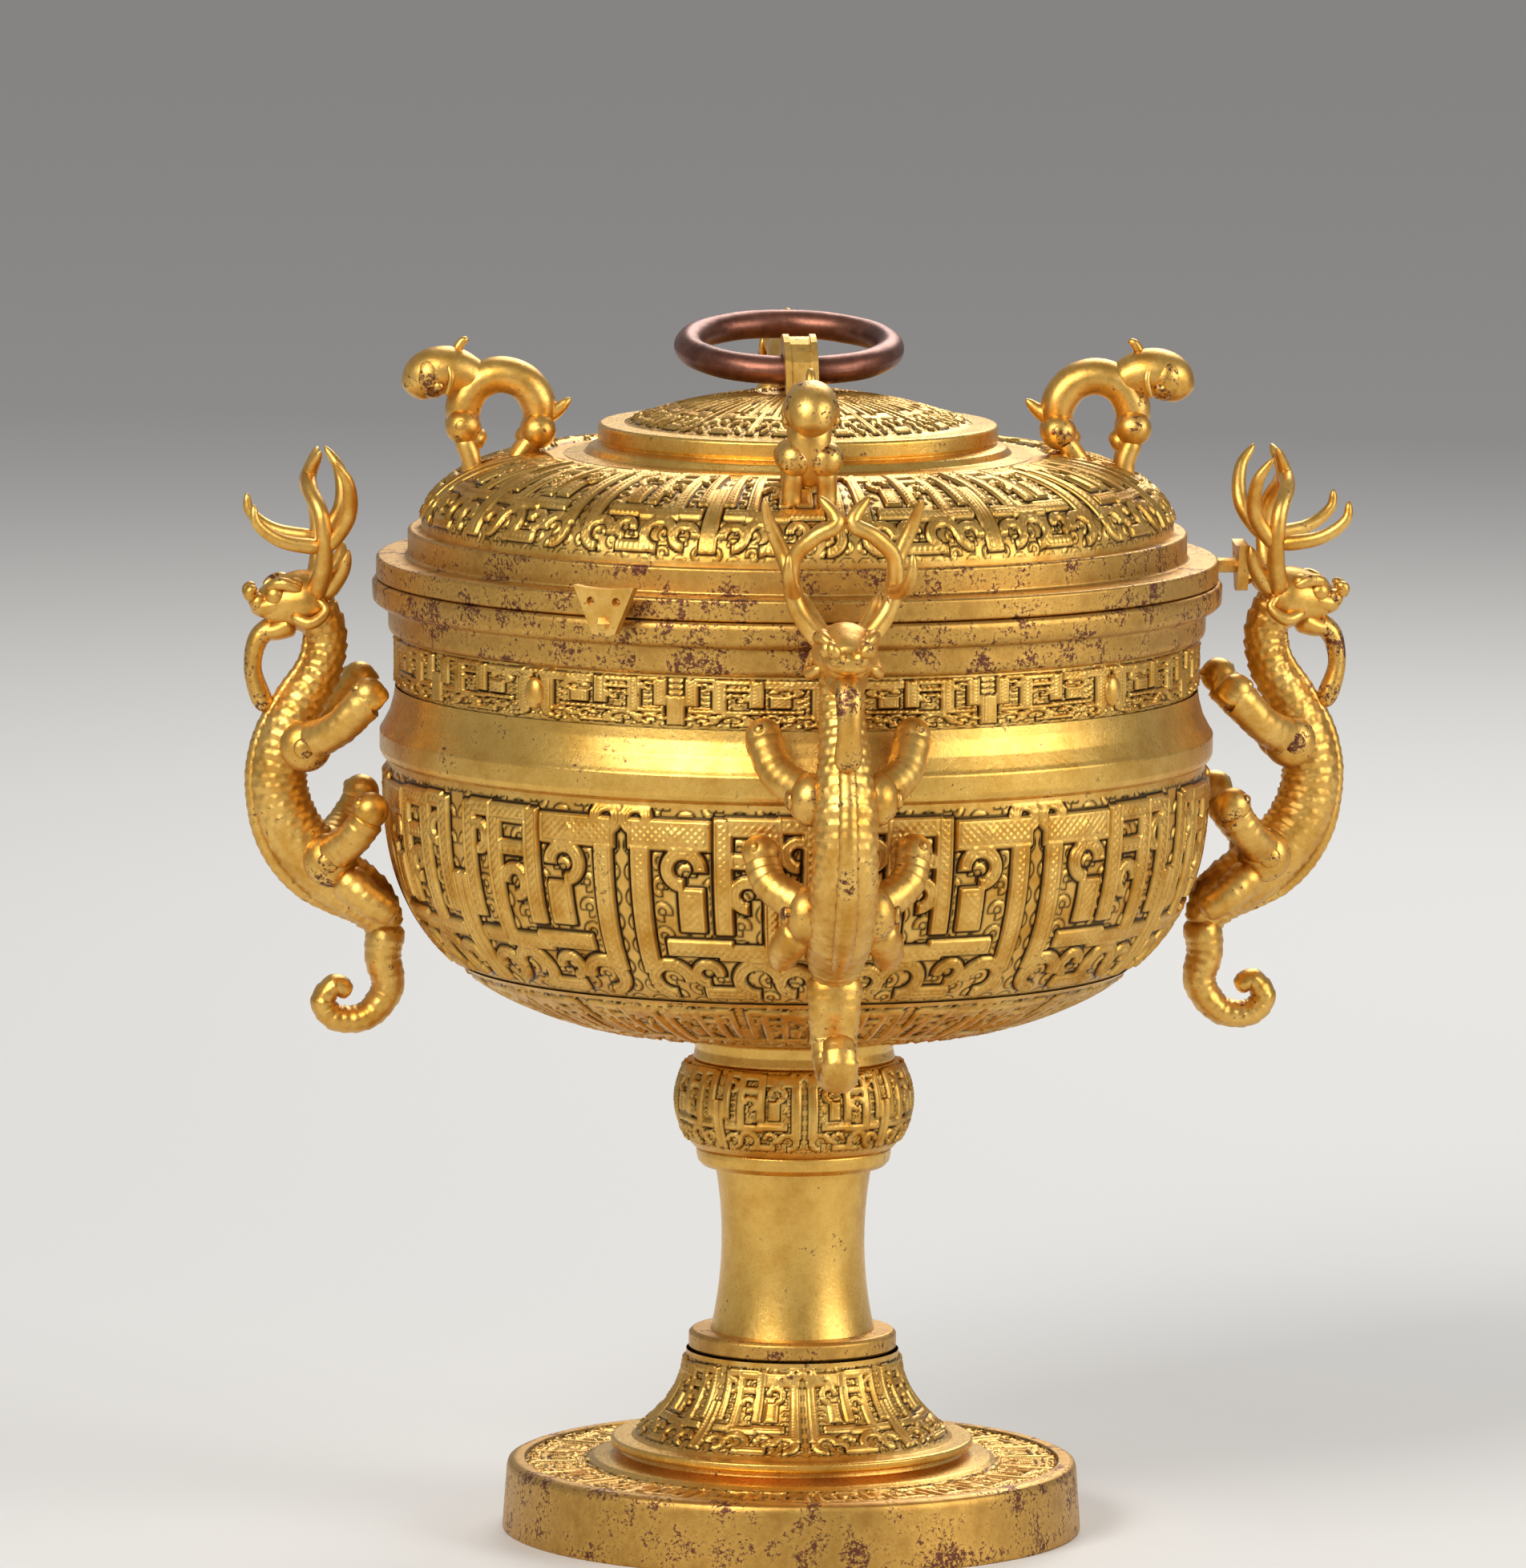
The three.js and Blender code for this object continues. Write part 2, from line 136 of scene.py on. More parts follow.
def gilding(name, gold, deep, bare, grime, wear, rough, grain, carved=True):
    """Fire gilding on cast bronze: gold clouded with orange, grime in grooves, bare metal on worn tops.

    The mesh attribute relief runs from 0 in a groove through 0.5 on a plain face to 1 on a high point. A
    finish that isn't carved sits on meshes without it and takes a soft noise in its place."""
    material = bpy.data.materials.new(name)
    material.use_nodes = True
    tree = material.node_tree
    shader = tree.nodes["Principled BSDF"]
    place = add_node(tree, "ShaderNodeTexCoord").outputs["Object"]
    if carved:
        relief = add_node(tree, "ShaderNodeAttribute", attribute_name="relief").outputs["Fac"]
    else:
        relief = noise(tree, place, PLAIN_TONE_SCALE, 3.0)
    clouds = noise(tree, place, CLOUD_SCALE, 7.0, 0.72)
    speckle = noise(tree, place, grain, 8.0, 0.75)
    tint = ramp(tree, clouds, [(0.35, deep), (0.6, gold)])
    groove = ramp(tree, relief, [(0.05, (1, 1, 1, 1)), (0.38, (0, 0, 0, 1))])
    dirty = laid_over(tree, groove, tint, grime)
    spots = arithmetic(tree, "ADD", speckle, clouds)
    tops = arithmetic(tree, "MULTIPLY", relief, WEAR_ON_TOPS)
    above = arithmetic(tree, "SUBTRACT", arithmetic(tree, "ADD", spots, tops), wear)
    worn = arithmetic(tree, "MULTIPLY", above, WEAR_EDGE, clamp=True)
    tree.links.new(laid_over(tree, worn, dirty, bare), shader.inputs["Base Color"])
    uneven = arithmetic(tree, "MULTIPLY_ADD", speckle, ROUGH_SPREAD, rough - ROUGH_SPREAD / 2)
    dulled = arithmetic(tree, "MULTIPLY_ADD", worn, WORN_DULLING, uneven)
    tree.links.new(dulled, shader.inputs["Roughness"])
    pitting = add_node(tree, "ShaderNodeBump", {"Height": speckle, "Strength": 0.35, "Distance": 0.00025})
    tree.links.new(pitting.outputs["Normal"], shader.inputs["Normal"])
    shader.inputs["Metallic"].default_value = METALLIC
    return material


GOLD = linear("EBBE66")
ORANGE_GOLD = linear("CB9238")
BROWN = linear("6E4232")
GRIME = linear("2A1A0C")
cast_gilt = gilding("fire_gilt_cast_relief", GOLD, ORANGE_GOLD, BROWN, GRIME,
                    wear=1.34, rough=0.34, grain=1100.0)
smooth_gilt = gilding("fire_gilt_turned_smooth", linear("EABD62"), linear("D3A148"), BROWN, GRIME,
                      wear=1.36, rough=0.29, grain=1000.0)
speckled_gilt = gilding("fire_gilt_thin_speckled", linear("DDAE58"), linear("B58740"), BROWN, GRIME,
                        wear=1.27, rough=0.38, grain=1300.0)
bare_copper = gilding("copper_brown_bare_bronze", linear("8A5A48"), linear("5E3A2E"), linear("B07A62"),
                      linear("2B1B14"), wear=1.42, rough=0.38, grain=500.0)
plain_gilt = gilding("fire_gilt_small_fittings", GOLD, ORANGE_GOLD, BROWN, GRIME,
                     wear=1.36, rough=0.36, grain=900.0, carved=False)


def piece(name, grids, material, slot, body, *nodes):
    """One mesh from grids of points: each grid is (points[rows, turns, 3] in mm, relief[rows, turns]).

    A grid whose first row's ends lie over OPEN_STEPS of its steps apart is a sector and stays open."""
    corners, faces, relief, start = [], [], [], 0
    for points, height in grids:
        rows, turns = points.shape[:2]
        index = start + np.arange(rows * turns).reshape(rows, turns)
        right = np.roll(index, -1, axis=1)
        quads = np.stack([index[:-1], right[:-1], right[1:], index[1:]], axis=-1)
        span = np.linalg.norm(points[0, 0] - points[0, -1])
        step = np.linalg.norm(points[0, 0] - points[0, 1])
        open_sector = span > OPEN_STEPS * step
        faces.append((quads[:, :-1] if open_sector else quads).reshape(-1, 4))
        corners.append(points.reshape(-1, 3) * MM)
        relief.append(height.ravel())
        start += rows * turns
    corners = np.concatenate(corners)
    faces = np.concatenate(faces)
    values = np.concatenate(relief).astype(np.float32)
    mesh = bpy.data.meshes.new(name)
    mesh.from_pydata(corners.tolist(), [], faces.tolist())
    mesh.attributes.new("relief", "FLOAT", "POINT").data.foreach_set("value", values)
    mesh.polygons.foreach_set("use_smooth", np.ones(len(faces), bool))
    mesh.materials.append(material)
    mesh.update()
    made = bpy.data.objects.new(name, mesh)
    bpy.context.scene.collection.objects.link(made)
    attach(made, body)
    if nodes:
        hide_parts(*nodes)
    return made


def box_gap(w, v, cw, cv, hw, hv):
    """Signed distance to a box centred at (cw, cv) with half sizes (hw, hv)."""
    dw, dv = np.abs(w - cw) - hw, np.abs(v - cv) - hv
    return np.hypot(np.maximum(dw, 0), np.maximum(dv, 0)) + np.minimum(np.maximum(dw, dv), 0)


def curl_gap(w, v, cw, cv, radius, half):
    """Signed distance to a ring, open like a hook where its lower outer quarter is cut."""
    ring = np.abs(np.hypot(w - cw, v - cv) - radius) - half
    cut = np.minimum(w - cw, v - cv - 0.3)
    return np.maximum(ring, cut)


def scrollwork(w, v):
    """Relief height and tone, 0 to 1, of one mirrored mask unit.

    w runs from 0 on the mask's axis to UNIT_WIDTH, v from 0 to UNIT_HEIGHT down. Flat bands are a union of
    boxes (middle w, middle v, half width, half height) and hooks (middle w, middle v, radius, half width),
    with an engraved line inside their edge, beads within, and small C-scrolls on the ground between them."""
    boxes = [(4, 22, 1.9, 14), (10, 5.5, 8.5, 3), (21, 14, 1.8, 12), (15.5, 29.5, 7, 1.8),
             (27, 3.5, 5.5, 1.8), (31, 17, 1.8, 13), (26, 30.5, 6.5, 1.7), (38.6, 14, 1.7, 12),
             (20, 41.5, 5, 1.5), (35.5, 30, 4, 1.6), (41.8, 30, 1.2, 13), (26, 10.5, 3.4, 1.4),
             (14.5, 21, 2.6, 4.6), (35, 3, 3, 1.6)]
    curls = [(8, 38, 4.2, 1.3), (13, 12.4, 3.4, 1.2), (27.5, 37.5, 4.4, 1.3), (35.6, 38, 3.4, 1.2),
             (26, 17.5, 2.8, 1.1), (3.2, 2.4, 2.4, 1.1), (36, 9, 2.6, 1.0), (16.5, 36, 2.6, 1.0)]
    gap = np.full_like(w, 99.0)
    for b in boxes:
        gap = np.minimum(gap, box_gap(w, v, *b))
    for c in curls:
        gap = np.minimum(gap, curl_gap(w, v, *c))
    plate = np.clip(0.5 - gap / 0.5, 0, 1)
    edge = np.exp(-((gap + 0.72) / 0.24) ** 2)
    beads = (0.5 + 0.5 * np.sin(3.9 * w) * np.sin(3.9 * v)) * (gap < -1.0)
    eyes = np.exp(-(np.hypot(w - 11.5, (v - 5.4) * 1.3) / 1.4) ** 2)
    lattice_w = w % 5.4 - 2.7
    lattice_v = (v + 2.7 * (w % 10.8 > 5.4)) % 5.4 - 2.7
    small = curl_gap(lattice_w, lattice_v, 0, 0, 1.5, 0.42)
    fill = np.clip(0.5 - small / 0.4, 0, 1) * (gap > 0.8)
    height = 0.32 * fill + plate * (0.85 - 0.32 * edge - 0.3 * beads) + 0.3 * eyes
    moat = np.exp(-((gap - 0.45) / 0.4) ** 2) + 0.8 * np.exp(-((small - 0.3) / 0.28) ** 2) * (gap > 0.9)
    tone = (0.4 + 0.2 * plate + 0.12 * fill - 0.42 * np.minimum(moat, 1) - 0.3 * (edge + beads) * plate
            + 0.3 * eyes)
    return height, np.clip(tone, 0, 1)


def resample(profile, count):
    """Points at even spacing along a [radius, height] outline."""
    outline = np.array(profile, float)
    run = np.concatenate([[0], np.cumsum(np.hypot(*np.diff(outline, axis=0).T))])
    at = np.linspace(0, run[-1], count)
    return np.interp(at, run, outline[:, 0]), np.interp(at, run, outline[:, 1])


def turned(profile, rows, turns, units=0, depth=0.0, top=0.0, bottom=1.0, phase=0.0, level=0.5, sector=None):
    """A surface of revolution; between the shares top and bottom of its run, scrollwork stands out by depth.

    units is how many mirrored units go round, and phase turns their first mask axis from the front. sector
    is the first and last angle of a part of the round; without it the surface closes on itself."""
    radius, height = resample(profile, rows)
    whole = np.linspace(0, 2 * np.pi, turns, endpoint=False)
    angle = whole if sector is None else np.linspace(*sector, turns)
    slope_r = np.gradient(radius)
    slope_z = np.gradient(height)
    length = np.hypot(slope_r, slope_z) + 1e-9
    normal_r, normal_z = slope_z / length, -slope_r / length
    raised = np.zeros((rows, turns))
    relief = np.full((rows, turns), level)
    if units:
        share = np.linspace(0, 1, rows)
        down = (bottom - share) / (bottom - top)
        period = 2 * np.pi / units
        from_mask = np.abs((angle - phase + period / 2) % period - period / 2)
        w, v = np.meshgrid(from_mask / (period / 2) * UNIT_WIDTH, down * UNIT_HEIGHT)
        fade = np.clip(np.minimum(down, 1 - down) * 30, 0, 1)[:, None]
        pattern, tone = scrollwork(w, np.clip(v, 0, UNIT_HEIGHT))
        raised = pattern * fade * depth
        relief = np.where(fade > 0, tone, level)
    out_r = radius[:, None] + raised * normal_r[:, None]
    out_z = height[:, None] + raised * normal_z[:, None]
    points = np.stack([out_r * np.sin(angle), -out_r * np.cos(angle), out_z * np.ones_like(angle)], axis=-1)
    return points, relief


def limb(stations, steps=48, sides=24, wide=1.0, scales=0.0, level=0.5):
    """A tapering limb: a smooth curve through stations (x, y, z, radius), oval, drawn in at both ends.

    scales raises overlapping rows of scales by that many millimetres."""
    knots = np.array(stations, float)
    padded = np.vstack([2 * knots[0] - knots[1], knots, 2 * knots[-1] - knots[-2]])
    at = np.linspace(0, len(knots) - 1 - 1e-6, steps)
    k = at.astype(int)
    t = (at - k)[:, None]
    p0, p1, p2, p3 = (padded[k + i] for i in range(4))
    line = 0.5 * (2 * p1 + (p2 - p0) * t + (2 * p0 - 5 * p1 + 4 * p2 - p3) * t ** 2
                  + (3 * p1 - p0 - 3 * p2 + p3) * t ** 3)
    centre = line[:, :3]
    radius = np.maximum(line[:, 3], 0.2)
    ease = np.sqrt(np.clip(1 - (1 - np.linspace(0, 1, steps) * steps / 5).clip(0) ** 2, 0.0001, 1))
    radius = radius * ease * ease[::-1]
    along = np.gradient(centre, axis=0)
    along /= np.linalg.norm(along, axis=1)[:, None] + 1e-9
    side = np.cross(along, np.cross([0.0, 1.0, 0.0], along) + 1e-6)
    side /= np.linalg.norm(side, axis=1)[:, None] + 1e-9
    other = np.cross(along, side)
    turn = np.linspace(0, 2 * np.pi, sides, endpoint=False)
    run = np.concatenate([[0], np.cumsum(np.linalg.norm(np.diff(centre, axis=0), axis=1))])[:, None]
    row = run / SCALE_LENGTH
    around = 14 if sides > 40 else 9
    shift = np.floor(row) % 2 * 0.5
    tile = np.abs((turn * around / (2 * np.pi) + shift) % 1 - 0.5)
    scale = (row % 1) * (1 - 1.4 * tile)
    reach = radius[:, None] + scales * scale
    sideways = side[:, None] * (np.cos(turn) * reach * wide)[..., None]
    upwards = other[:, None] * (np.sin(turn) * reach)[..., None]
    relief = level + (0.35 * (scale - 0.45) if scales else 0 * reach)
    return centre[:, None] + (sideways + upwards), relief * np.ones_like(reach)


def ball(x, y, z, radius, stretch=(1, 1, 1), level=0.6, rows=14, turns=20):
    """A rounded boss: a sphere stretched along x, y and z."""
    latitudes = np.linspace(-np.pi / 2, np.pi / 2, rows)
    longitudes = np.linspace(0, 2 * np.pi, turns, endpoint=False)
    up, along = np.meshgrid(latitudes, longitudes, indexing="ij")
    points = np.stack([np.cos(up) * np.cos(along), np.cos(up) * np.sin(along), np.sin(up)], axis=-1)
    return points * radius * np.array(stretch) + np.array([x, y, z]), np.full((rows, turns), level)


def spun(grids, angle):
    """The same grids turned about the cup's axis."""
    c = math.cos(angle)
    s = math.sin(angle)
    turn = np.array([[c, s, 0], [-s, c, 0], [0, 0, 1]])
    return [(points @ turn, height) for points, height in grids]


# Levels and radii in millimetres. The levels come from the solids; the radii repeat the turned forms.
foot_r = high("foot_disc", 0)
cone_z = low("foot_cone")
collar_z = low("lower_collar")
stem_z = low("stem")
ring_z = low("upper_ring")
knob_z = low("knob")
upper_z = low("upper_collar")
bowl_z = low("bowl")
lid_z = low("lid")
crown_z = low("crown")
FOOT_TOP = 14.2
FOOT_HOLLOW = 10.2
FOOT_RIM = 9
CORE_RADIUS = 15
CONE_TOP_RADIUS = 22
CONE_FLARE = 11
STEM_WAIST = 14.4
STEM_FLARE = 2.1
KNOB_RADIUS = 20.2
KNOB_BULGE = 2.9
RELIEF_INSET = 0.6
BELLY_INSET = 0.5
BOWL_RADIUS = 82.6
BOWL_INSIDE_RADIUS = 79
BOWL_DEPTH = 58.0
BAND_FOOT = 0.26
BAND_TOP = 0.97
SHOULDER_RISE = 8.2
NECK_RADIUS = 80.0
FRIEZE_HEIGHT = 10.6
STEP_RISE = 10.0
DOME_RADIUS = 75.4
DOME_TOP_RADIUS = 45.9
DOME_RISE = 15.0
LID_WALL = 3
CROWN_FOOT_RISE = 2.2
SMALL_DOME_RADIUS = 34.9
SMALL_DOME_RISE = 6.2
LEVELS = np.linspace(0, 1, 24)
ridge_z = bowl_z + BOWL_DEPTH + 4.5
neck_z = ridge_z + SHOULDER_RISE
frieze_z = neck_z + FRIEZE_HEIGHT
dome_z = lid_z + STEP_RISE
disc_z = crown_z + CROWN_FOOT_RISE


def foot():
    """The foot: a hollow disc, its openwork band, the moulding that carries the cone, and the flared cone."""
    hollow_r = foot_r - FOOT_RIM
    disc = [(12, 10.5), (hollow_r, FOOT_HOLLOW), (hollow_r, 0), (foot_r, 0.0), (foot_r, 0.8),
            (57.5, 12.6), (57.2, 13.6), (56, FOOT_TOP), (54, FOOT_TOP)]
    piece("foot_disc_skin", [turned(disc, 160, 256, level=0.62)], speckled_gilt, "worn_gilt", "cup",
          "foot_disc")
    openwork = [(54, FOOT_TOP), (53.6, 13.2), (42, 13.2), (41, FOOT_TOP)]
    piece("foot_openwork", [turned(openwork, 60, 720, 12, 0.9, 0, 1)], cast_gilt, "gilt_bronze", "cup")
    moulding = [(41, FOOT_TOP), (40, 14.8), (34.5, 15.6), (34, 17), (36.2, 17), (36.5, 17.4), (36.5, 18.5),
                (36, 18.8), (30, 18.8)]
    piece("foot_moulding", [turned(moulding, 90, 256, level=0.55)], smooth_gilt, "gilt_bronze", "cup")
    cone_rise = collar_z - cone_z
    cone = [(CONE_TOP_RADIUS + CONE_FLARE * (1 - s) ** 2.2 - RELIEF_INSET, cone_z + cone_rise * s)
            for s in LEVELS]
    piece("foot_cone_relief", [turned(cone, 90, 520, 4, 0.9, 0.04, 0.96)], cast_gilt, "gilt_bronze", "cup",
          "foot_cone")


def stem():
    """The stem from the lower collar up: collar, waisted stem, ring, relief knob and upper collar."""
    collar = [(CORE_RADIUS, collar_z), (20.2, collar_z), (20.9, collar_z + 0.6), (20.9, stem_z - 0.7),
              (20.2, stem_z), (CORE_RADIUS, stem_z)]
    piece("lower_collar_skin", [turned(collar, 60, 192, level=0.6)], speckled_gilt, "gilt_bronze", "cup",
          "lower_collar")
    waist = [(STEM_WAIST + STEM_FLARE * (2 * s - 1.1) ** 2 / 1.21, stem_z + (ring_z - stem_z) * s)
             for s in LEVELS]
    piece("stem_skin", [turned(waist, 80, 192, level=0.5)], smooth_gilt, "smooth_gilt", "cup", "stem")
    upper = [(CORE_RADIUS, ring_z), (18.4, ring_z), (19.3, ring_z + 1), (19.6, ring_z + 2.4),
             (19.6, knob_z - 0.5), (19.1, knob_z), (CORE_RADIUS, knob_z)]
    piece("upper_ring_skin", [turned(upper, 60, 192, level=0.55)], smooth_gilt, "gilt_bronze", "cup",
          "upper_ring")
    knob_rise = upper_z - knob_z
    side = [(KNOB_RADIUS + 0.8 * s + KNOB_BULGE * math.sin(math.pi * s) ** 0.8, knob_z + knob_rise * s)
            for s in LEVELS]
    knob = [(CORE_RADIUS, knob_z)] + side + [(CORE_RADIUS, upper_z)]
    piece("knob_relief", [turned(knob, 100, 480, 4, 0.9, 0.22, 0.8)], cast_gilt, "gilt_bronze", "cup", "knob")
    top_collar = [(CORE_RADIUS, upper_z), (20, upper_z), (20.3, upper_z + 0.5), (19.9, upper_z + 2.4),
                  (20.3, bowl_z - 0.4), (20, bowl_z), (CORE_RADIUS, bowl_z)]
    piece("upper_collar_skin", [turned(top_collar, 60, 192, level=0.52)], smooth_gilt, "gilt_bronze", "cup",
          "upper_collar")


def bowl_side(up, radius=BOWL_RADIUS):
    """The bowl's radius at a share of its depth: it rises steeply and then stands nearly upright."""
    return radius * (1 - (1 - up) ** 3) ** (1 / 2.6)


def sectors(count):
    """The first and last angle of each of count equal sectors."""
    width = 360 // count
    return [(math.radians(width * i), math.radians(width * i + width)) for i in range(count)]


def bowl_body():
    """The bowl up to its shoulder: the twelve panels underneath, and the main relief band in six sectors."""
    shares = np.linspace(0.012, BAND_FOOT, 30)
    base = [(bowl_side(u), bowl_z + BOWL_DEPTH * u) for u in shares if bowl_side(u) > 20]
    base = [(CORE_RADIUS, bowl_z + 0.05), (20, bowl_z + 0.05)] + base
    piece("bowl_under_panels", [turned(base, 110, 840, 12, 0.8, 0.5, 0.98)], cast_gilt, "gilt_bronze", "cup",
          "bowl")
    shares = np.linspace(BAND_FOOT, BAND_TOP, 40)
    belly = [(bowl_side(u) - BELLY_INSET, bowl_z + BOWL_DEPTH * u) for u in shares]
    for i, span in enumerate(sectors(6)):
        band = turned(belly, 120, 400, 6, 1.3, 0.02, 0.98, math.radians(30), sector=span)
        piece(f"bowl_relief_band_{i + 1}", [band], cast_gilt, "gilt_bronze", "cup")


def bowl_neck_and_rim():
    """The shoulder ridge, the neck frieze with a boss in each quarter, and the rim with the plain inside."""
    band_z = bowl_z + BOWL_DEPTH * BAND_TOP
    shoulder = [(bowl_side(BAND_TOP) - BELLY_INSET, band_z), (83.2, band_z + 0.8), (83.6, band_z + 1.8),
                (83.6, ridge_z - 0.6), (83, ridge_z + 0.3), (81.6, ridge_z + 3), (80.8, ridge_z + 6),
                (80.5, ridge_z + SHOULDER_RISE)]
    piece("shoulder_skin", [turned(shoulder, 60, 320, level=0.6)], smooth_gilt, "gilt_bronze", "cup")
    neck = [(NECK_RADIUS, neck_z), (NECK_RADIUS, frieze_z)]
    for i, span in enumerate(sectors(4)):
        frieze = turned(neck, 46, 480, 8, 1.1, 0.03, 0.97, sector=span)
        boss = ball(0, -80.6, neck_z + 5.2, 2.9, (0.8, 0.5, 1.1), 0.7)
        grids = [frieze] + spun([boss], -sum(span) / 2)
        piece(f"neck_frieze_{i + 1}", grids, cast_gilt, "gilt_bronze", "cup")
    rim = [(80.2, frieze_z), (81.9, frieze_z + 0.8), (82, lid_z - 5.4), (84, lid_z - 5.1),
           (85.1, lid_z - 4), (85.2, lid_z - 0.6), (84.8, lid_z - 0.05), (77.1, lid_z - 0.05),
           (77, neck_z), (79, neck_z - 6)]
    shares = np.linspace(0.98, 0.0, 30)
    inside = [(bowl_side(u, BOWL_INSIDE_RADIUS), bowl_z + 3.8 + 54 * u) for u in shares]
    piece("bowl_rim_skin", [turned(rim + inside, 200, 320, level=0.66)], speckled_gilt, "gilt_bronze", "cup")


def lid_shell():
    """The lid: its flange and step, the relief dome in four sectors, and the plain inside."""
    flange = [(76, dome_z - 3.2), (75.2, lid_z + 0.1), (84, lid_z + 0.1), (84.4, lid_z + 0.5),
              (84.4, lid_z + 4.1), (84, lid_z + 4.55), (78.6, lid_z + 4.6), (78.1, lid_z + 5),
              (78.1, dome_z - 0.4), (77.6, dome_z), (DOME_RADIUS, dome_z)]
    piece("lid_flange_skin", [turned(flange, 150, 320, level=0.62)], speckled_gilt, "gilt_bronze", "lid",
          "lid")
    drawn_in = DOME_RADIUS - DOME_TOP_RADIUS
    dome = [(DOME_TOP_RADIUS + drawn_in * math.cos(a) ** 0.9, dome_z + DOME_RISE * math.sin(a))
            for a in np.linspace(0, np.pi / 2, 40)]
    for i, span in enumerate(sectors(4)):
        carved = turned(dome, 96, 430, 8, 1.1, 0.03, 0.9, LID_TURN, sector=span)
        piece(f"lid_dome_relief_{i + 1}", [carved], cast_gilt, "gilt_bronze", "lid")
    under = [(r - LID_WALL, z - LID_WALL) for r, z in reversed(dome)]
    inside = [(1, crown_z - 3.4)] + under + [(75.2, dome_z - 3.2)]
    piece("lid_inside_skin", [turned(inside, 60, 128, level=0.4)], speckled_gilt, "gilt_bronze", "lid")


def crown():
    """The crown: a disc on a narrower foot, and the small relief dome under the strap."""
    disc = [(47, crown_z - 0.3), (42.8, crown_z + 0.1), (41.8, crown_z + 1.4), (39.6, disc_z),
            (40.1, disc_z + 0.5), (40.1, disc_z + 3.2), (39.6, disc_z + 3.7), (34.8, disc_z + 3.7)]
    piece("crown_disc_skin", [turned(disc, 70, 256, level=0.6)], smooth_gilt, "gilt_bronze", "lid", "crown")
    dome = [(SMALL_DOME_RADIUS * s, disc_z + 3.5 + SMALL_DOME_RISE * (1 - s * s))
            for s in np.linspace(1, 0.01, 30)]
    piece("crown_dome_relief", [turned(dome, 90, 720, 8, 0.9, 0.02, 0.8)], cast_gilt, "gilt_bronze", "lid")


def dragon_side(s):
    """One side of a dragon, s being 1 or -1: face, haunches, ear, three legs, paws and a forked antler."""
    return [
        limb([(109.4, s * 2.4, 189, 1.5), (110, s * 3.4, 190.6, 1.2), (108.6, s * 3.6, 191.6, 0.8)],
             16, 12, level=0.8),
        limb([(107, s * 3.4, 191.2, 0.9), (103.6, s * 5.2, 192.4, 1.3), (99.6, s * 5.6, 191, 0.9)],
             20, 12, level=0.7),
        limb([(102, s * 5, 186, 1.2), (98, s * 6.6, 184.6, 1.3), (95, s * 6, 187, 1),
              (96.6, s * 5.4, 189.4, 0.7)], 30, 12),
        ball(105, s * 3.6, 190, 2.1),
        ball(108.2, s * 2.1, 188.4, 1.9, level=0.9),
        ball(101, s * 4.6, 192, 1.6),
        ball(99, s * 6.6, 160, 5.3, (1, 0.8, 1), 0.7),
        ball(99.6, s * 10.6, 160, 2.1, (1, 0.5, 1), 0.95),
        ball(94, s * 6.6, 137, 5.5, (1, 0.8, 1), 0.7),
        ball(94.6, s * 10.8, 137, 2.2, (1, 0.5, 1), 0.95),
        limb([(96, s * 3, 189, 2.4), (92, s * 6, 195, 1.8), (90.5, s * 7.5, 199.5, 0.7)], 20, 14),
        limb([(100, s * 5, 160, 4), (93, s * 12, 164, 3.5), (87, s * 14.5, 170, 3.6),
              (85, s * 14.3, 169, 2.6)], 44, 24, 1, 0.3),
        ball(87, s * 14.6, 171, 3.6),
        limb([(95, s * 5, 137, 4), (90, s * 13, 142, 3.4), (86.5, s * 15, 147, 3.4)], 44, 24, 1, 0.3),
        ball(86.5, s * 15, 148, 3.7),
        ball(88.8, s * 16.4, 149.4, 1.2, level=0.9),
        ball(89.2, s * 15.6, 172.4, 1.2, level=0.9),
        limb([(92, s * 7, 134, 4), (86, s * 10, 129, 3.2), (81, s * 10, 126, 2.6)], 30, 20, 1, 0.3),
        limb([(97, s * 3, 189, 2.4), (95.5, s * 9, 197, 1.8), (96, s * 10, 206, 1.6), (98, s * 6, 211, 1.6),
              (98, s * 1.5, 214, 1.5), (96, s * 5, 219, 0.8)], 60, 14),
        limb([(95.6, s * 9.3, 199, 1.6), (91, s * 11, 206, 1.6), (91, s * 14, 213, 1.3),
              (94, s * 15.5, 218, 0.6)], 40, 14),
        limb([(95.6, s * 9.4, 200, 1.7), (104, s * 11, 201.5, 1.4), (109, s * 12, 205, 1.1),
              (109.8, s * 12, 209, 0.6)], 40, 14),
    ]


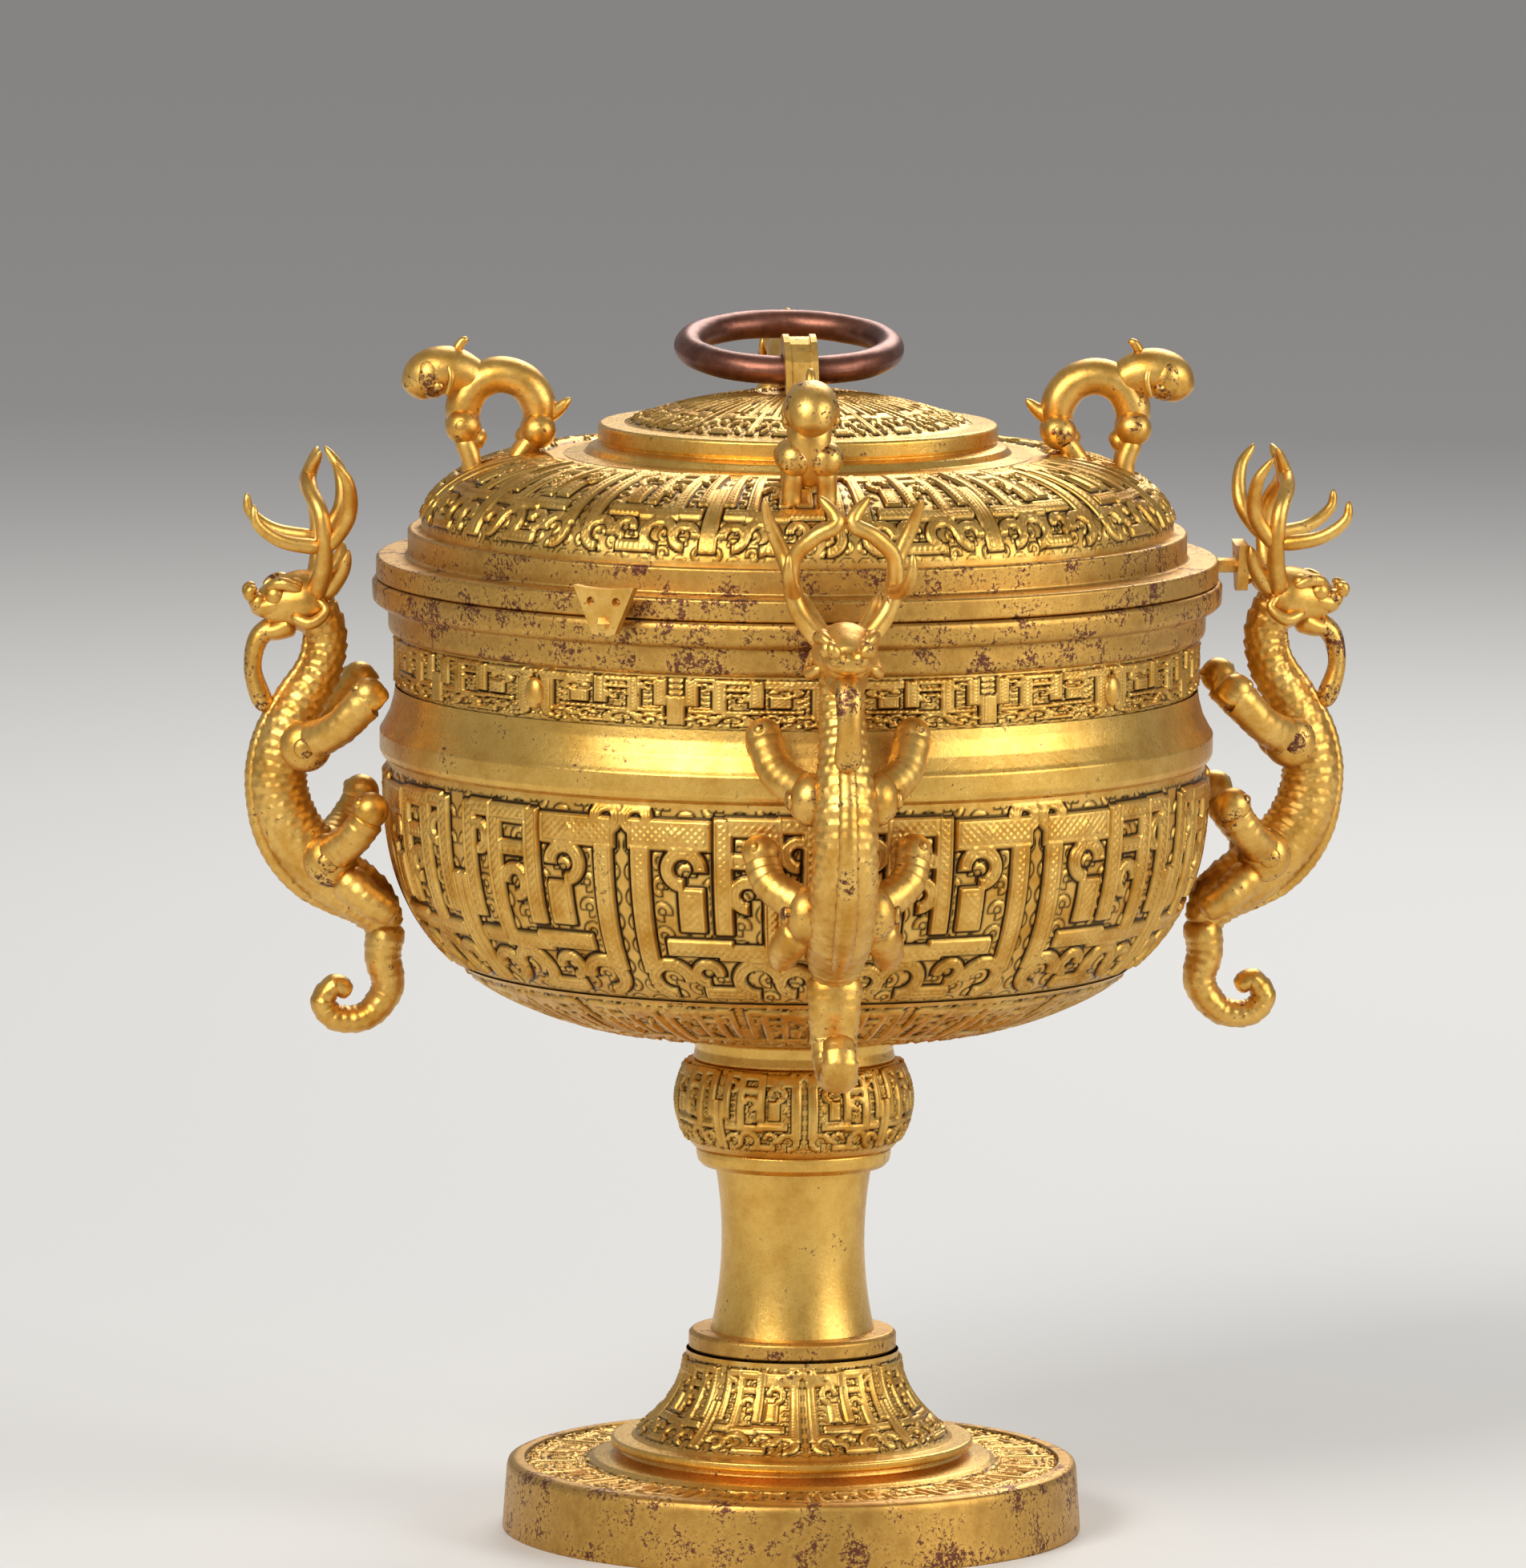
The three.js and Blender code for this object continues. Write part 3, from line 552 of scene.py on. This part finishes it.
def dragon():
    """One dragon handle in its own plane, x outward from the cup's axis, y sideways, z up."""
    body = [(81, 0, 121, 3), (86, 0, 128, 5.4), (94, 0, 134, 6.2), (101, 0, 142, 6), (104, 0, 151, 5.6),
            (103, 0, 160, 5.4), (99.5, 0, 168, 4.6), (95.5, 0, 175, 4), (94.6, 0, 182, 4), (98, 0, 188, 5)]
    skull = [(94, 0, 188, 4.6), (99, 0, 188.5, 6.2), (104, 0, 188, 5), (108, 0, 187, 3.2)]
    lower_jaw = [(101, 0, 184.4, 3), (105, 0, 182.6, 2.2), (108.6, 0, 182.8, 1.3)]
    upper_lip = [(103, 0, 188.4, 3.2), (107, 0, 187.6, 2.6), (109.6, 0, 188.2, 1.6)]
    back_ridge = [(88, 0, 123.8, 0.8), (99.6, 0, 130.4, 1.5), (106.6, 0, 139.6, 1.6), (109.2, 0, 151, 1.5),
                  (107.9, 0, 161, 1.4), (103.6, 0, 169.6, 1.2), (99.2, 0, 176.4, 1), (98.2, 0, 182, 0.8)]
    tongue = [(104, 0, 184, 2.4), (108, 0, 181, 2.1), (109.2, 0, 175, 1.8), (107.5, 0, 169, 2.1),
              (105.8, 0, 166.5, 1.4)]
    tail = [(82, 0, 124, 4), (83, 0, 117, 3.6), (82, 0, 110.5, 3.2), (86, 0, 104.9, 2.8), (92, 0, 104.2, 2.6),
            (95, 0, 107.5, 2.4), (92.5, 0, 111, 2.1), (89.5, 0, 109, 1.8)]
    grids = [
        limb(body, 150, 72, 1.08, 0.55),
        limb(skull, wide=1.05),
        limb(lower_jaw, 24, wide=1.6),
        limb(upper_lip, 24, wide=1.7),
        limb(back_ridge, 120, 16, 1.3, 0.3, 0.7),
        limb(tongue, 40, 20, 1.3, level=0.85),
        limb(tail, 90, 30, 1.4, 0.3, 0.55),
    ]
    return grids + dragon_side(-1) + dragon_side(1)


def beast_side(cx, cz, s):
    """One side of a lid beast, s being 1 or -1: haunches, eye, a lock of mane, haunch bosses, two legs."""
    return [
        ball(cx - 7.4, s * 3, cz - 3.4, 3.6, level=0.7),
        ball(cx + 7.6, s * 3, cz - 2.6, 3.6, level=0.7),
        ball(cx + 12.6, s * 4.6, cz + 5.6, 1.2, level=0.9),
        limb([(cx + 11, s * 3.6, cz + 11, 0.6), (cx + 10, s * 5, cz + 7.4, 0.7),
              (cx + 11, s * 4.6, cz + 3.6, 0.6)], 24, 10, level=0.35),
        ball(cx - 7.6, s * 5.6, cz - 3.2, 1.7, (1, 0.6, 1), 0.95),
        ball(cx + 7.8, s * 5.6, cz - 2.4, 1.7, (1, 0.6, 1), 0.95),
        limb([(cx - 7, s * 3, cz - 4, 2.2), (cx - 4, s * 3.4, cz - 8, 2), (cx - 3, s * 3.4, cz - 9.6, 2)],
             20, 16),
        limb([(cx + 8, s * 3, cz - 4, 2.2), (cx + 6, s * 3.4, cz - 9, 2), (cx + 6, s * 3.4, cz - 13, 2)],
             20, 16),
    ]


def beast():
    """One lid beast: an arched back round a hole, a crested head that looks outward, and a short tail."""
    cx = 59.5
    cz = crown_z + 7.8
    reach = 7.6
    bearings = (-62, -25, 15, 55, 95, 135, 175, 215, 243)
    radii = (2.8, 2.8, 3.6, 3.7, 3.7, 3.7, 3.6, 2.8, 2.8)
    back = [(cx - reach * math.cos(math.radians(d)), 0, cz + reach * math.sin(math.radians(d)), r)
            for d, r in zip(bearings, radii)]
    neck = [(cx + 4, 0, cz + 6, 3.6), (cx + 10, 0, cz + 8.4, 4.8), (cx + 15, 0, cz + 7.3, 4.7),
            (cx + 17.6, 0, cz + 3, 2.6)]
    tail = [(cx - 7, 0, cz - 1, 2.8), (cx - 11, 0, cz + 0.5, 1.6), (cx - 14, 0, cz + 3, 0.6)]
    crest = [(cx + 9.4, 0, cz + 11.6, 1.1), (cx + 7.8, 0, cz + 14.2, 0.9), (cx + 6.4, 0, cz + 14.6, 0.5)]
    grids = [
        limb(back, 80, 28, 1.15),
        limb(neck, 50, 28, 1.05, level=0.62),
        limb(tail, 24, 16),
        ball(cx + 14, 0, cz + 7.6, 4.9, (0.9, 1.12, 1), 0.92, 24, 36),
        limb(crest, 16, 12),
    ]
    return grids + beast_side(cx, cz, -1) + beast_side(cx, cz, 1)


foot()
stem()
bowl_body()
bowl_neck_and_rim()
lid_shell()
crown()
for i, where in enumerate(("right", "rear", "left", "front")):
    quarter_turns = -i * math.pi / 2
    piece(f"dragon_{where}_cast", spun(dragon(), quarter_turns), cast_gilt, "gilt_bronze", "cup",
          f"dragon_{where}")
    piece(f"beast_{where}_cast", spun(beast(), quarter_turns - LID_TURN), cast_gilt, "gilt_bronze", "lid",
          f"beast_{where}")

def ring():
    """The hammered ring: a circle of wire through the hinge point, tilted so that its rear stands higher."""
    wire_radius = 2.9
    ring_radius = 20.3
    tilt = math.radians(8.3)
    hinge = next(joint for joint in frame["joints"] if joint["name"] == "ring_swing")
    round_ring = np.linspace(0, 2 * np.pi, 128, endpoint=False)
    round_wire = np.linspace(0, 2 * np.pi, 33)
    along, around = np.meshgrid(round_ring, round_wire)
    hammered = wire_radius + 0.05 * np.sin(9 * along) * np.cos(3 * around)
    reach = ring_radius + hammered * np.cos(around)
    flat = np.stack([reach * np.cos(along), ring_radius + reach * np.sin(along), hammered * np.sin(around)],
                    axis=-1)
    lean = np.array([[1, 0, 0], [0, math.cos(tilt), math.sin(tilt)], [0, -math.sin(tilt), math.cos(tilt)]])
    points = flat @ lean + np.array(hinge["pos_m"]) / MM
    piece("ring_wire", [(points, np.full(along.shape, 0.5))], bare_copper, "bare_copper", "ring", "ring")


ring()

for node in ("strap", "tie_rod", "clasp_front", "clasp_right", "clasp_rear"):
    materials = frame["nodes"][node].data.materials
    materials.clear()
    materials.append(plain_gilt)

floor_mesh = bpy.data.meshes.new("floor")
floor_mesh.from_pydata([(-6, -6, 0), (6, -6, 0), (6, 6, 0), (-6, 6, 0)], [], [(0, 1, 2, 3)])
floor = bpy.data.objects.new("floor", floor_mesh)
bpy.context.scene.collection.objects.link(floor)
paper = bpy.data.materials.new("pale_paper_sweep")
paper.use_nodes = True
paper.node_tree.nodes["Principled BSDF"].inputs["Base Color"].default_value = linear("D9D7D2")
paper.node_tree.nodes["Principled BSDF"].inputs["Roughness"].default_value = 0.8
floor_mesh.materials.append(paper)


def lamp(name, place, size, power):
    """A soft square lamp aimed at the bowl: its place and size are in metres, its power in watts."""
    data = bpy.data.lights.new(name, "AREA")
    data.size = size
    data.energy = power
    made = bpy.data.objects.new(name, data)
    made.location = place
    towards = Vector((0, 0, LAMP_AIM_HEIGHT)) - Vector(place)
    made.rotation_euler = towards.to_track_quat("-Z", "Y").to_euler()
    bpy.context.scene.collection.objects.link(made)


lamp("key_softbox", (-0.9, -1.1, 1.1), 0.7, 22)
lamp("fill_softbox", (1.3, -0.8, 0.7), 0.8, 12)
lamp("rim_softbox", (0.4, 1.3, 1.2), 0.8, 14)
world = bpy.data.worlds.new("studio")
world.use_nodes = True
world.node_tree.nodes["Background"].inputs["Color"].default_value = linear("CFCFD2")
world.node_tree.nodes["Background"].inputs["Strength"].default_value = 0.5
bpy.context.scene.world = world

camera_data = bpy.data.cameras.new("camera")
camera_data.lens = LENS
camera_data.sensor_width = 36
camera_data.clip_end = 50
camera = bpy.data.objects.new("camera", camera_data)
bpy.context.scene.collection.objects.link(camera)
right = Vector((math.cos(CAMERA_AZIMUTH), math.sin(CAMERA_AZIMUTH), 0))
eye = Vector((CAMERA_DISTANCE * math.sin(CAMERA_AZIMUTH), -CAMERA_DISTANCE * math.cos(CAMERA_AZIMUTH),
              CAMERA_HEIGHT))
aim = -AIM_LEFT * right + Vector((0, 0, AIM_HEIGHT))
facing = (aim - eye).to_track_quat("-Z", "Y").to_matrix().to_4x4()
camera.matrix_world = Matrix.Translation(eye) @ facing @ Matrix.Rotation(CAMERA_ROLL, 4, "Z")
bpy.context.scene.camera = camera
bpy.context.scene.view_settings.view_transform = "Standard"
